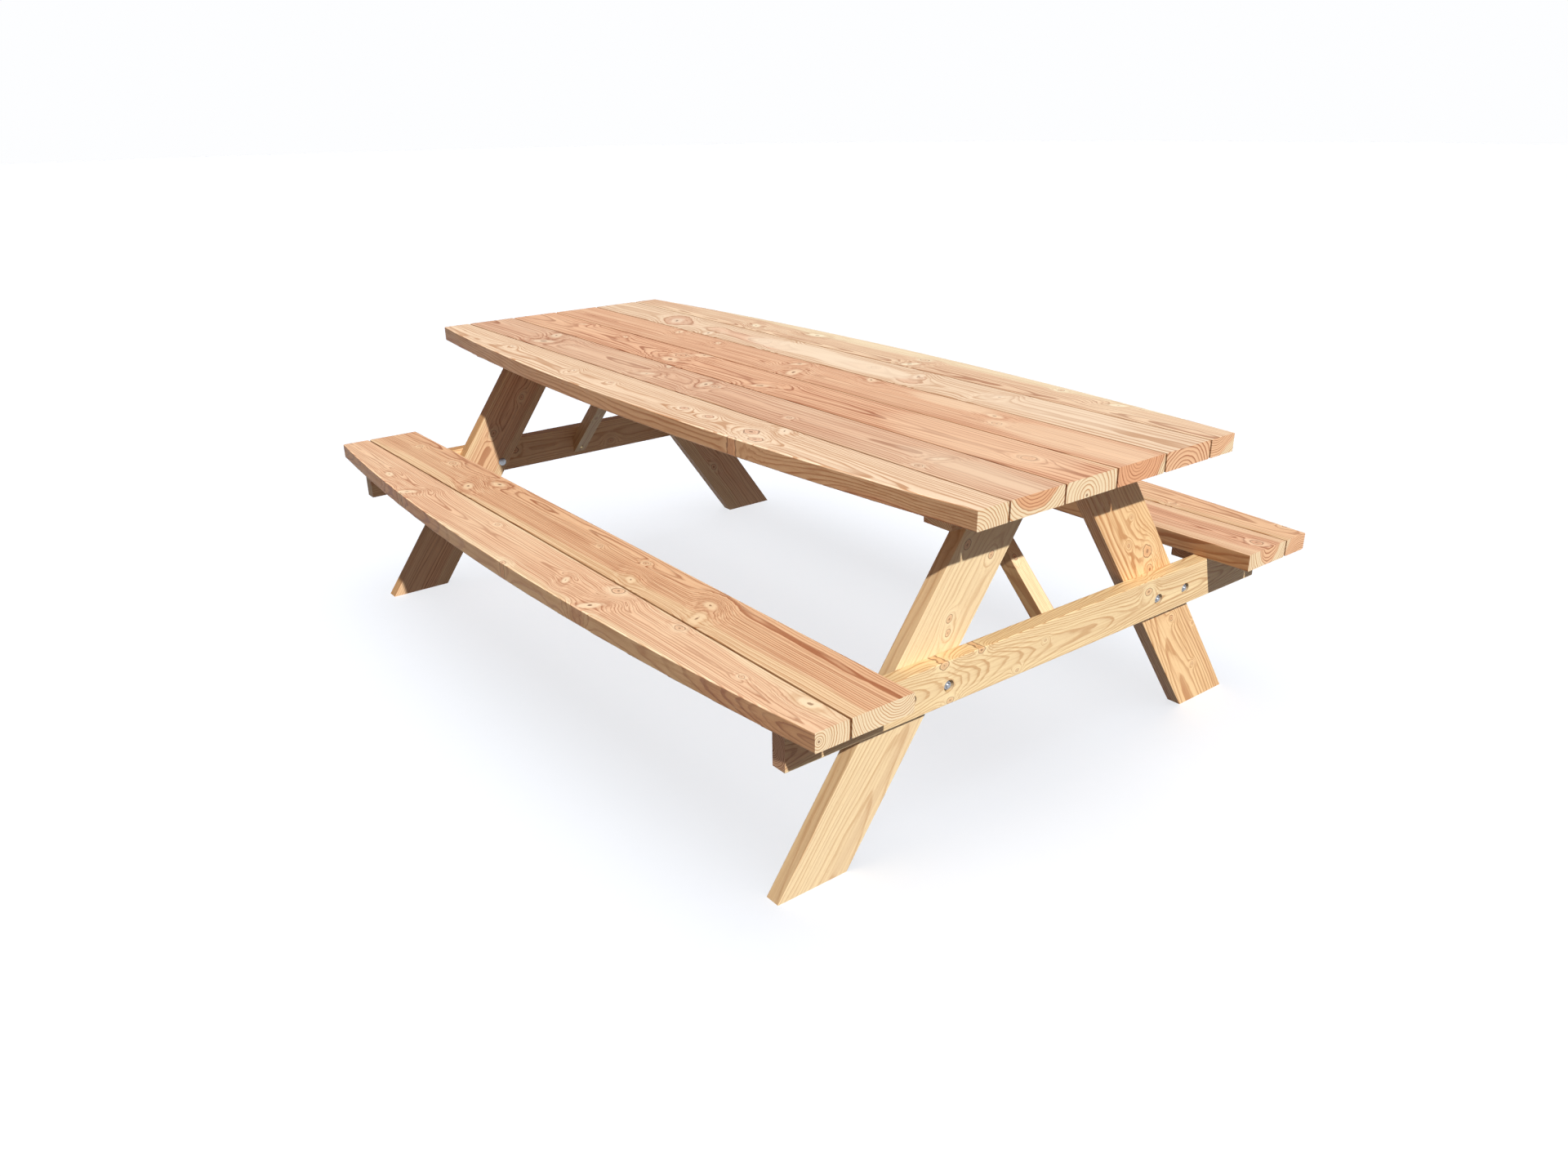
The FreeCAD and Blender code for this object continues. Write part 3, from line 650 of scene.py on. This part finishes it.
def solid_boxes(node):
    """The box of each separate solid of a CAD node."""
    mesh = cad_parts[node].data
    parent = {}

    def root(key):
        while parent[key] != key:
            parent[key] = parent[parent[key]]
            key = parent[key]
        return key

    keys = []
    for vertex in mesh.vertices:
        key = tuple(round(c, 6) for c in vertex.co)
        parent.setdefault(key, key)
        keys.append(key)
    for face in mesh.polygons:
        first = root(keys[face.vertices[0]])
        for index in face.vertices[1:]:
            parent[root(keys[index])] = first
    groups = {}
    for key in parent:
        groups.setdefault(root(key), []).append(key)
    boxes = []
    for points in groups.values():
        low = [min(p[i] for p in points) for i in range(3)]
        high = [max(p[i] for p in points) for i in range(3)]
        boxes.append((Vector(low), Vector(high)))
    return sorted(boxes, key=lambda box: tuple(box[0]))


def steel(name, color, rough):
    """Plated steel: cloudy tone, fine scratches and small pits."""
    sh = Shader(name)
    place = sh.object_place
    cloud = sh.noise(place, 260.0, 3.0, 0.6)
    scratch = sh.noise(sh.vector("MULTIPLY", place, (2600.0, 300.0, 900.0)), 1.0, 2.0)
    pit = sh.step(sh.noise(place, 1500.0, 1.0), 0.64, 0.76)
    dark = tuple(0.45 * c for c in color)
    light = tuple(min(1.0, 1.35 * c) for c in color)
    tint = sh.mix(sh.step(cloud, 0.3, 0.7), color, light)
    tint = sh.mix(pit * 0.6, tint, dark)
    tint = sh.tinted(tint, scratch, 0.55, 0.8, 0.35, dark)
    roughness = cloud * 0.25 + (rough - 0.12) + pit * 0.2
    return sh.finish(tint, roughness, scratch * 0.4 + cloud * 0.4 - pit, 0.1 * MM, 1.0)


def ring_points(profile, direction):
    """Points of rings about a direction, each with its own height and radius at every step round."""
    steps = len(profile[0])
    side = direction.normalized()
    helper = Vector((0, 0, 1)) if abs(side.z) < 0.5 else Vector((0, 1, 0))
    first = side.cross(helper).normalized()
    second = side.cross(first)
    points = []
    for ring in profile:
        for step, (height, radius) in enumerate(ring):
            angle = 2 * math.pi * step / steps
            offset = first * (math.cos(angle) * radius) + second * (math.sin(angle) * radius)
            points.append(side * height + offset)
    return points


def ring_faces(rings, steps, closed):
    """Faces between neighbouring rings; closed joins the last ring to the first."""
    faces = []
    for row in range(rings if closed else rings - 1):
        a = row * steps
        b = ((row + 1) % rings) * steps
        for step in range(steps):
            after = (step + 1) % steps
            faces.append((a + step, a + after, b + after, b + step))
    return faces


def turned(rings, direction):
    """A mesh from rings of (height, radius of each step round), closed at both ends."""
    steps = len(rings[0][1])
    profile = [[(height, radius) for radius in radii] for height, radii in rings]
    faces = ring_faces(len(rings), steps, closed=False)
    faces.append(tuple(reversed(range(steps))))
    faces.append(tuple(range((len(rings) - 1) * steps, len(rings) * steps)))
    return ring_points(profile, direction), faces


def wrapped(profile, direction):
    """A mesh from a closed loop of rings, such as a washer's."""
    return ring_points(profile, direction), ring_faces(len(profile), len(profile[0]), closed=True)


def as_mesh(name, points, faces):
    """A mesh object whose faces point outwards, kept out of the scene."""
    mesh = bpy.data.meshes.new(name)
    mesh.from_pydata([tuple(p) for p in points], [], faces)
    work = bmesh.new()
    work.from_mesh(mesh)
    bmesh.ops.recalc_face_normals(work, faces=work.faces)
    work.to_mesh(mesh)
    work.free()
    return bpy.data.objects.new(name, mesh)


def round_ring(height, radius, steps):
    return (height, [radius] * steps)


def bolt_mesh(name, box, direction, settings):
    """A carriage bolt: domed head at the start of its direction, thread at its end."""
    steps = 28
    length = box[1].x - box[0].x
    head = (box[1].z - box[0].z) / 2
    shank = BOLT_RADIUS
    rise = DOME_RISE
    rings = []
    for angle in (90, 75, 60, 45, 30, 15, 5):
        turn = math.radians(angle)
        rings.append(round_ring(rise * (1 - math.sin(turn)), max(head * math.cos(turn), DOME_TIP), steps))
    rings.append(round_ring(rise, head, steps))
    rings.append(round_ring(rise, shank, steps))
    start = length - settings.thread_length
    rings.append(round_ring(start, shank, steps))
    rows = int(round(settings.thread_length / settings.thread_pitch * ROWS_PER_TURN))
    for row in range(1, rows + 1):
        height = start + settings.thread_length * row / rows
        radii = []
        for step in range(steps):
            turn = (height / settings.thread_pitch - step / steps) % 1.0
            groove = 1 - abs(2 * turn - 1)
            edge = min(1.0, (length - height) / THREAD_RUN_OUT)
            radii.append(shank - settings.thread_depth * (1 - (1 - groove) * edge))
        rings.append((height, radii))
    rings.append(round_ring(length, 0.6 * shank, steps))
    return as_mesh(name, *turned(rings, direction))


def nut_mesh(name, box, direction):
    """A hexagon nut with chamfered corners and a countersunk bore."""
    steps = 48
    flat = (box[1].z - box[0].z) / 2
    height = box[1].x - box[0].x
    hexagon = []
    for step in range(steps):
        angle = math.radians((360.0 * step / steps) % 60 - 30)
        hexagon.append(flat / math.cos(angle))
    cone = flat * 0.97
    slope = math.tan(NUT_CHAMFER)
    low = [max(0.0, (r - cone) * slope) for r in hexagon]
    profile = [
        [(NUT_EASE, NUT_BORE)] * steps,
        [(0.0, NUT_BORE + NUT_EASE)] * steps,
        [(0.0, cone)] * steps,
        [(low[s], hexagon[s]) for s in range(steps)],
        [(height - low[s], hexagon[s]) for s in range(steps)],
        [(height, cone)] * steps,
        [(height, NUT_BORE + NUT_EASE)] * steps,
        [(height - NUT_EASE, NUT_BORE)] * steps,
    ]
    return as_mesh(name, *wrapped(profile, direction))


def washer_mesh(name, box, direction):
    """A flat washer with eased edges."""
    steps = 40
    outer = (box[1].z - box[0].z) / 2
    inner = WASHER_BORE
    thick = box[1].x - box[0].x
    ease = WASHER_EASE
    outline = [(ease, inner), (0.0, inner + ease), (0.0, outer - ease), (ease, outer),
               (thick - ease, outer), (thick, outer - ease), (thick, inner + ease), (thick - ease, inner)]
    return as_mesh(name, *wrapped([[pair] * steps for pair in outline], direction))


def screw_mesh(name, box, settings):
    """A countersunk screw standing head down, with a cross recess and a coarse thread."""
    steps = 24
    length = box[1].z - box[0].z
    head = (box[1].x - box[0].x) / 2
    shank = head * 0.5
    cross = []
    for step in range(steps):
        angle = (360.0 * step / steps) % 90
        arm = angle < 16 or angle > 74
        cross.append(head * (0.55 if arm else 0.2))
    floor = [radius * 0.5 for radius in cross]
    rings = [
        (head * 0.42, floor),
        (0.0, cross),
        round_ring(0.0, head * 0.97, steps),
        round_ring(head * 0.06, head, steps),
        round_ring(head * 0.52, shank, steps),
    ]
    start = head * 1.4
    rows = int(round((length - start) / settings.screw_thread_pitch * 3))
    for row in range(rows + 1):
        height = start + (length - start) * row / rows
        point = min(1.0, (length - height) / (2 * shank) + 0.05)
        radii = []
        for step in range(steps):
            turn = (height / settings.screw_thread_pitch - step / steps) % 1.0
            ridge = max(0.0, 1 - abs(2 * turn - 1) * 3)
            radii.append(shank * point * (0.72 + 0.28 * ridge))
        rings.append((height, radii))
    return as_mesh(name, *turned(rings, Vector((0, 0, 1))))


def row_tree():
    """Geometry nodes: one fastener at every vertex, each turned about its own axis."""
    tree = bpy.data.node_groups.new("fastener_row", "GeometryNodeTree")
    kinds = (("Places", "NodeSocketGeometry"), ("Fastener", "NodeSocketObject"),
             ("Turn axis", "NodeSocketVector"), ("Largest turn", "NodeSocketFloat"),
             ("Seed", "NodeSocketInt"), ("Finish", "NodeSocketMaterial"))
    for name, kind in kinds:
        tree.interface.new_socket(name, in_out="INPUT", socket_type=kind)
    tree.interface.new_socket("Row", in_out="OUTPUT", socket_type="NodeSocketGeometry")
    new = tree.nodes.new
    start = new("NodeGroupInput")
    info = new("GeometryNodeObjectInfo")
    place = new("GeometryNodeInstanceOnPoints")
    chance = new("FunctionNodeRandomValue")
    spin = new("ShaderNodeVectorMath")
    turn = new("GeometryNodeRotateInstances")
    real = new("GeometryNodeRealizeInstances")
    finish = new("GeometryNodeSetMaterial")
    end = new("NodeGroupOutput")
    chance.data_type = "FLOAT"
    spin.operation = "SCALE"
    links = (
        (start, "Fastener", info, "Object"),
        (start, "Places", place, "Points"),
        (info, "Geometry", place, "Instance"),
        (start, "Largest turn", chance, 3),
        (start, "Seed", chance, "Seed"),
        (start, "Turn axis", spin, 0),
        (chance, 1, spin, 3),
        (place, 0, turn, "Instances"),
        (spin, 0, turn, "Rotation"),
        (turn, 0, real, 0),
        (real, 0, finish, "Geometry"),
        (start, "Finish", finish, "Material"),
        (finish, 0, end, 0),
    )
    for giver, output, taker, socket in links:
        tree.links.new(giver.outputs[output], taker.inputs[socket])
    return tree


def lay_row(name, tree, pattern, places, axis, largest_turn, seed, finish):
    """Run the tree over the places and keep the plain mesh that it makes."""
    mesh = bpy.data.meshes.new(name + "_places")
    mesh.from_pydata([tuple(p) for p in places], [], [])
    host = bpy.data.objects.new(name + "_places", mesh)
    scene = bpy.context.scene
    scene.collection.objects.link(host)
    scene.collection.objects.link(pattern)
    modifier = host.modifiers.new("row", "NODES")
    modifier.node_group = tree
    ids = {item.name: item.identifier for item in tree.interface.items_tree if item.in_out == "INPUT"}
    modifier[ids["Fastener"]] = pattern
    modifier[ids["Turn axis"]] = axis
    modifier[ids["Largest turn"]] = largest_turn
    modifier[ids["Seed"]] = seed
    modifier[ids["Finish"]] = finish
    bpy.context.view_layer.update()
    evaluated = host.evaluated_get(bpy.context.evaluated_depsgraph_get())
    result = bpy.data.meshes.new_from_object(evaluated)
    result.name = name
    host.modifiers.remove(modifier)
    bpy.data.objects.remove(host)
    bpy.data.objects.remove(pattern)
    if len(result.polygons) == 0:
        raise RuntimeError("no fasteners were made for " + name)
    if not result.materials:
        result.materials.append(finish)
    piece = bpy.data.objects.new(name, result)
    scene.collection.objects.link(piece)
    return piece


def smooth_by_angle(piece, degrees):
    """Smooth shading except across edges sharper than an angle."""
    mesh = piece.data
    mesh.shade_smooth()
    mesh.set_sharp_from_angle(angle=math.radians(degrees))


# ---------------------------------------------------------------- stage

KEY_DIRECTION = (1.0, -0.25, 0.896)
KEY_COLOR = (1.0, 0.985, 0.96)
WASH_COLOR = (0.927, 0.977, 1.0)
WASH_SOFTNESS = math.radians(60)
FILL_COLOR = (1.0, 0.88, 0.93, 1.0)
BACKGROUND_COLOR = (0.985, 0.99, 1.0, 1.0)
HORIZON = 0.3  # how far above and below level the fill changes
CAMERA_PLACE = (2.42444, -1.82534, 1.42390)
CAMERA_AZIMUTH = math.radians(-37.52)
CAMERA_ELEVATION = math.radians(23.25)
CAMERA_ROLL = math.radians(-0.75)
CAMERA_SHIFT = 0.0045


def backdrop(settings):
    """A wide round floor."""
    steps = 96
    radius = settings.floor_radius
    angles = [2 * math.pi * step / steps for step in range(steps)]
    points = [(radius * math.cos(angle), radius * math.sin(angle), 0.0) for angle in angles]
    mesh = bpy.data.meshes.new("floor")
    mesh.from_pydata(points, [], [tuple(range(steps))])
    floor = bpy.data.objects.new("floor", mesh)
    floor.visible_diffuse = False
    bpy.context.scene.collection.objects.link(floor)
    sh = Shader("floor")
    grain = sh.noise(sh.object_place, 30.0, 3.0)
    tint = sh.mix(grain * 0.5, settings.floor, tuple(0.985 * c for c in settings.floor))
    floor.data.materials.append(sh.finish(tint, grain * 0.1 + 0.75, grain, 0.02 * MM))
    return floor


def sun(name, strength, softness, color, direction):
    """A far light that shines from a direction."""
    data = bpy.data.lights.new(name, "SUN")
    data.energy = strength
    data.angle = softness
    data.color = color
    light = bpy.data.objects.new(name, data)
    light.rotation_euler = Vector(direction).to_track_quat("Z", "Y").to_euler()
    bpy.context.scene.collection.objects.link(light)
    return light


def shine_on(light, obj, wanted):
    """Let a light reach only one object, or every object but that one."""
    group = bpy.data.collections.new(light.name + "_reach")
    group.objects.link(obj)
    light.light_linking.receiver_collection = group
    if not wanted:
        group.collection_objects[0].light_linking.link_state = "EXCLUDE"


def lights(settings, floor):
    """A low key light from the left of the near end, and a plain even wash for the floor."""
    key = sun("key", settings.key_strength, settings.key_softness, KEY_COLOR, KEY_DIRECTION)
    shine_on(key, floor, False)
    wash = sun("floor_wash", settings.floor_wash, WASH_SOFTNESS, WASH_COLOR, (0.0, 0.0, 1.0))
    wash.data.use_shadow = False
    shine_on(wash, floor, True)


def surroundings(settings):
    """Soft light, weaker from below, and a plain background behind the floor."""
    world = bpy.data.worlds.new("surroundings")
    world.use_nodes = True
    tree = world.node_tree
    fill = tree.nodes["Background"]
    fill.inputs[0].default_value = FILL_COLOR
    aim = tree.nodes.new("ShaderNodeTexCoord")
    split = tree.nodes.new("ShaderNodeSeparateXYZ")
    rise = tree.nodes.new("ShaderNodeMapRange")
    for index, level in enumerate((-HORIZON, HORIZON, settings.ground, settings.sky)):
        rise.inputs[1 + index].default_value = level
    tree.links.new(aim.outputs["Generated"], split.inputs[0])
    tree.links.new(split.outputs["Z"], rise.inputs[0])
    tree.links.new(rise.outputs[0], fill.inputs[1])
    seen = tree.nodes.new("ShaderNodeBackground")
    seen.inputs[0].default_value = BACKGROUND_COLOR
    seen.inputs[1].default_value = settings.background
    path = tree.nodes.new("ShaderNodeLightPath")
    mix = tree.nodes.new("ShaderNodeMixShader")
    tree.links.new(path.outputs["Is Camera Ray"], mix.inputs[0])
    tree.links.new(fill.outputs[0], mix.inputs[1])
    tree.links.new(seen.outputs[0], mix.inputs[2])
    tree.links.new(mix.outputs[0], tree.nodes["World Output"].inputs[0])
    bpy.context.scene.world = world


def aim_camera(settings):
    """The standing view from the left of the near end."""
    data = bpy.data.cameras.new("camera")
    data.lens = settings.lens
    data.sensor_width = 36.0
    data.shift_x = CAMERA_SHIFT
    data.shift_y = CAMERA_SHIFT
    data.clip_end = 200.0
    camera = bpy.data.objects.new("camera", data)
    level = math.cos(CAMERA_ELEVATION)
    away = Vector((level * math.cos(CAMERA_AZIMUTH), level * math.sin(CAMERA_AZIMUTH),
                   math.sin(CAMERA_ELEVATION)))
    right = (-away).cross(Vector((0, 0, 1))).normalized()
    up = right.cross(-away)
    right_turned = math.cos(CAMERA_ROLL) * right + math.sin(CAMERA_ROLL) * up
    up_turned = -math.sin(CAMERA_ROLL) * right + math.cos(CAMERA_ROLL) * up
    turn = Matrix((right_turned, up_turned, away)).transposed().to_4x4()
    camera.matrix_world = Matrix.Translation(CAMERA_PLACE) @ turn
    bpy.context.scene.collection.objects.link(camera)
    bpy.context.scene.camera = camera


# ---------------------------------------------------------------- operators

class PICNIC_OT_top(bpy.types.Operator):
    """Finish the six boards of the top"""

    bl_idname = "picnic.top"
    bl_label = "Top boards"

    def execute(self, context):
        clothe(top_boards(), context.scene.picnic_timber, 1)
        return {"FINISHED"}


class PICNIC_OT_benches(bpy.types.Operator):
    """Finish the boards of both benches"""

    bl_idname = "picnic.benches"
    bl_label = "Bench boards"

    def execute(self, context):
        clothe(bench_boards(), context.scene.picnic_timber, 11)
        return {"FINISHED"}


class PICNIC_OT_trestles(bpy.types.Operator):
    """Finish the legs, beams, braces and cleats"""

    bl_idname = "picnic.trestles"
    bl_label = "Trestles"

    def execute(self, context):
        clothe(trestle_pieces(), context.scene.picnic_timber, 21)
        return {"FINISHED"}


class PICNIC_OT_bolts(bpy.types.Operator):
    """Make the carriage bolts, washers and nuts"""

    bl_idname = "picnic.bolts"
    bl_label = "Bolts"

    def execute(self, context):
        settings = context.scene.picnic_fasteners
        finish = steel("zinc_plate", tuple(settings.steel), 0.42)
        tree = row_tree()
        for end, side in (("near", 1.0), ("far", -1.0)):
            direction = Vector((side, 0, 0))
            for kind, largest_turn in (("carriage_bolts", 0.0), ("bolt_washers", 1.0), ("bolt_nuts", 3.0)):
                node = "%s_%s" % (kind, end)
                boxes = solid_boxes(node)
                if kind == "carriage_bolts":
                    pattern = bolt_mesh(node + "_pattern", boxes[0], direction, settings)
                elif kind == "bolt_washers":
                    pattern = washer_mesh(node + "_pattern", boxes[0], direction)
                else:
                    pattern = nut_mesh(node + "_pattern", boxes[0], direction)
                start = 0 if side > 0 else 1
                places = [(b[start].x, (b[0].y + b[1].y) / 2, (b[0].z + b[1].z) / 2) for b in boxes]
                piece = lay_row(node + "_made", tree, pattern, places, (1.0, 0, 0), largest_turn,
                                settings.seed, finish)
                smooth_by_angle(piece, SMOOTH_BELOW)
                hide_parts(node)
                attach(piece, BODY)
        return {"FINISHED"}


class PICNIC_OT_screws(bpy.types.Operator):
    """Make the wood screws that hold the cleats, battens and braces"""

    bl_idname = "picnic.screws"
    bl_label = "Screws"

    def execute(self, context):
        settings = context.scene.picnic_fasteners
        finish = steel("yellow_zinc", tuple(settings.screw_steel), 0.38)
        tree = row_tree()
        nodes = at_both_ends("top_cleat_screws", "brace_cleat_screws", "seat_cleat_screws")
        for node in nodes + ["seat_batten_screws"]:
            boxes = solid_boxes(node)
            pattern = screw_mesh(node + "_pattern", boxes[0], settings)
            places = [((b[0].x + b[1].x) / 2, (b[0].y + b[1].y) / 2, b[0].z) for b in boxes]
            piece = lay_row(node + "_made", tree, pattern, places, (0, 0, 1.0), FULL_TURN,
                            settings.seed, finish)
            smooth_by_angle(piece, SMOOTH_BELOW)
            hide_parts(node)
            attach(piece, BODY)
        for node in at_both_ends("leg_screws", "cleat_fixing_screws", "brace_screws"):
            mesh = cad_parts[node].data
            mesh.materials.clear()
            mesh.materials.append(finish)
        return {"FINISHED"}


class PICNIC_OT_stage(bpy.types.Operator):
    """Lay the floor and set up the lights and the camera"""

    bl_idname = "picnic.stage"
    bl_label = "Stage"

    def execute(self, context):
        settings = context.scene.picnic_stage
        floor = backdrop(settings)
        lights(settings, floor)
        surroundings(settings)
        context.scene.view_settings.view_transform = "Standard"
        context.scene.view_settings.look = "None"
        aim_camera(settings)
        return {"FINISHED"}


class PICNIC_PT_panel(bpy.types.Panel):
    """The steps that finish the table"""

    bl_idname = "PICNIC_PT_panel"
    bl_label = "Picnic table"
    bl_space_type = "VIEW_3D"
    bl_region_type = "UI"
    bl_category = "Picnic table"

    def draw(self, context):
        layout = self.layout
        scene = context.scene
        for step in STEPS:
            layout.operator(step.bl_idname)
        for group in (scene.picnic_timber, scene.picnic_fasteners, scene.picnic_stage):
            box = layout.box()
            for name in group.bl_rna.properties.keys():
                if name not in ("rna_type", "name"):
                    box.prop(group, name)


STEPS = (PICNIC_OT_top, PICNIC_OT_benches, PICNIC_OT_trestles,
         PICNIC_OT_bolts, PICNIC_OT_screws, PICNIC_OT_stage)
CLASSES = (TimberSettings, FastenerSettings, StageSettings) + STEPS + (PICNIC_PT_panel,)


def register():
    for cls in CLASSES:
        bpy.utils.register_class(cls)
    bpy.types.Scene.picnic_timber = PointerProperty(type=TimberSettings)
    bpy.types.Scene.picnic_fasteners = PointerProperty(type=FastenerSettings)
    bpy.types.Scene.picnic_stage = PointerProperty(type=StageSettings)


def unregister():
    del bpy.types.Scene.picnic_stage
    del bpy.types.Scene.picnic_fasteners
    del bpy.types.Scene.picnic_timber
    for cls in reversed(CLASSES):
        bpy.utils.unregister_class(cls)


def main():
    register()
    bpy.ops.picnic.top()
    bpy.ops.picnic.benches()
    bpy.ops.picnic.trestles()
    bpy.ops.picnic.bolts()
    bpy.ops.picnic.screws()
    bpy.ops.picnic.stage()


if __name__ == "__main__":
    main()
